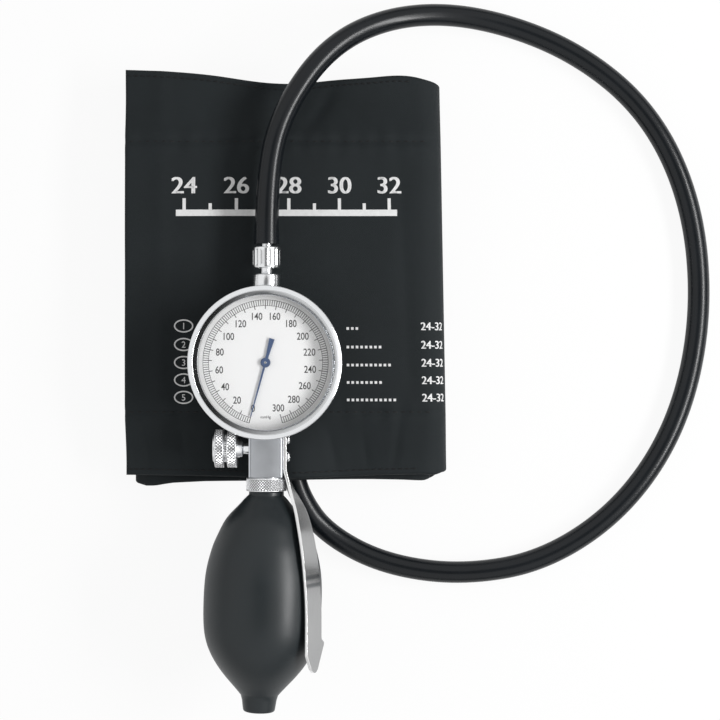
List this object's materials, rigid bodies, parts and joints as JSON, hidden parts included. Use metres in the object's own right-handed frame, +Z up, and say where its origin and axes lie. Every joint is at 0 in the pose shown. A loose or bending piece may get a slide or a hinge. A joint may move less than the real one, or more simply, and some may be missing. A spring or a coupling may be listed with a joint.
{
  "type": "aneroid sphygmomanometer",
  "caption": "Hand-held aneroid blood pressure gauge with squeeze bulb, air release valve and palm spoon, joined by a rubber hose to a folded cloth arm cuff.",
  "frame": {"origin": "on the table, under the middle of the folded cuff and the hand unit together, without the hose", "axes": "+Z up, out of the dial; +Y along the hand unit from the bulb to the top of the dial; +X to the right, towards the palm spoon"},
  "size_m": [0.2145, 0.2563, 0.0507],
  "materials": {
    "cuff_cloth": "fine woven nylon",
    "fastener_cloth": "hook and loop pile",
    "bladder_rubber": "matt",
    "hose_rubber": "semi-gloss",
    "bulb_rubber": "satin",
    "seal_rubber": "matt",
    "chrome_plate": "polished plating",
    "satin_plate": "satin plating",
    "spoon_steel": "polished sheet",
    "case_paint": "satin",
    "dial_enamel": "matt white",
    "pointer_blue": "blued",
    "window_glass": "clear",
    "movement_brass": "machined",
    "movement_steel": "machined"
  },
  "bodies": {
    "hand_unit_and_cuff": {"gauge_case": "case_paint", "window_gasket": "seal_rubber", "crystal": "window_glass", "bezel_ring": "chrome_plate", "dial_plate": "dial_enamel", "manifold": "movement_brass", "capsule": "movement_brass", "base_plate": "movement_brass", "movement_posts": "movement_brass", "movement_screws": "movement_steel", "bridge_plate": "movement_brass", "bridge_posts": "movement_brass", "hairspring": "movement_steel", "hairspring_stud": "movement_brass", "valve_body": "satin_plate", "valve_gland": "chrome_plate", "gland_packing": "seal_rubber", "hose_socket": "chrome_plate", "hose_nipple": "chrome_plate", "bulb_ferrule": "chrome_plate", "bulb_nipple": "movement_brass", "outlet_cage": "movement_brass", "bulb": "bulb_rubber", "intake_valve": "movement_brass", "intake_cage": "movement_brass", "intake_screen": "movement_steel", "spoon": "spoon_steel", "spoon_screws": "chrome_plate", "hose": "hose_rubber", "cuff_sleeve": "cuff_cloth", "bladder": "bladder_rubber", "bladder_port": "bladder_rubber", "hook_pad": "fastener_cloth", "loop_pad": "fastener_cloth"},
    "sector": {"sector_gear": "movement_brass", "sector_arbor": "movement_steel"},
    "pointer": {"pointer": "pointer_blue", "pointer_arbor": "movement_steel"},
    "rocker": {"rocker_shaft": "movement_steel"},
    "capsule_stud": {"capsule_stud": "movement_brass"},
    "release_needle": {"valve_needle": "movement_steel"},
    "release_knob": {"release_knob": "chrome_plate"},
    "union_nut": {"union_nut": "chrome_plate"},
    "outlet_ball": {"outlet_ball": "movement_steel"},
    "intake_ball": {"intake_ball": "movement_steel"}
  },
  "joints": [
    {"name": "sector_rock", "type": "hinge", "parent": "hand_unit_and_cuff", "child": "sector", "pos_m": [0.0087, 0.0097, 0.0342], "axis": [0, 0, 1], "range_deg": [0, 29.9], "stiffness_Nm_per_rad": 0.00002},
    {"name": "pointer_turn", "type": "hinge", "parent": "hand_unit_and_cuff", "child": "pointer", "pos_m": [-0.0063, 0.0097, 0.0342], "axis": [0, 0, 1], "range_deg": [-328.95, 0]},
    {"name": "rocker_tilt", "type": "hinge", "parent": "hand_unit_and_cuff", "child": "rocker", "pos_m": [-0.0049, 0.01345, 0.0312], "axis": [-0.9371, 0.349, 0], "range_deg": [0, 17.46]},
    {"name": "stud_rise", "type": "slide", "parent": "hand_unit_and_cuff", "child": "capsule_stud", "axis": [0, 0, 1], "range_m": [0, 0.0012], "deforming": ["capsule"]},
    {"name": "needle_slide", "type": "slide", "parent": "hand_unit_and_cuff", "child": "release_needle", "axis": [-1, 0, 0], "range_m": [0, 0.0015]},
    {"name": "knob_turn", "type": "hinge", "parent": "release_needle", "child": "release_knob", "pos_m": [-0.021, -0.0209, 0.0297], "axis": [-1, 0, 0], "range_deg": [0, 540]},
    {"name": "union_nut_turn", "type": "hinge", "parent": "hand_unit_and_cuff", "child": "union_nut", "pos_m": [-0.0063, 0.0471, 0.0297], "axis": [0, 1, 0], "continuous": true},
    {"name": "outlet_ball_lift", "type": "slide", "parent": "hand_unit_and_cuff", "child": "outlet_ball", "axis": [0, 1, 0], "range_m": [0, 0.0008]},
    {"name": "intake_ball_lift", "type": "slide", "parent": "hand_unit_and_cuff", "child": "intake_ball", "axis": [0.0349, 0.9994, 0], "range_m": [0, 0.0008]}
  ],
  "couplings": [
    {"joint": "pointer_turn", "follows": "sector_rock", "ratio": -11},
    {"joint": "rocker_tilt", "follows": "sector_rock", "ratio": 0.58387},
    {"joint": "stud_rise", "follows": "sector_rock", "m_per_rad": 0.0022995},
    {"joint": "needle_slide", "follows": "knob_turn", "m_per_rad": 0.00015915}
  ]
}
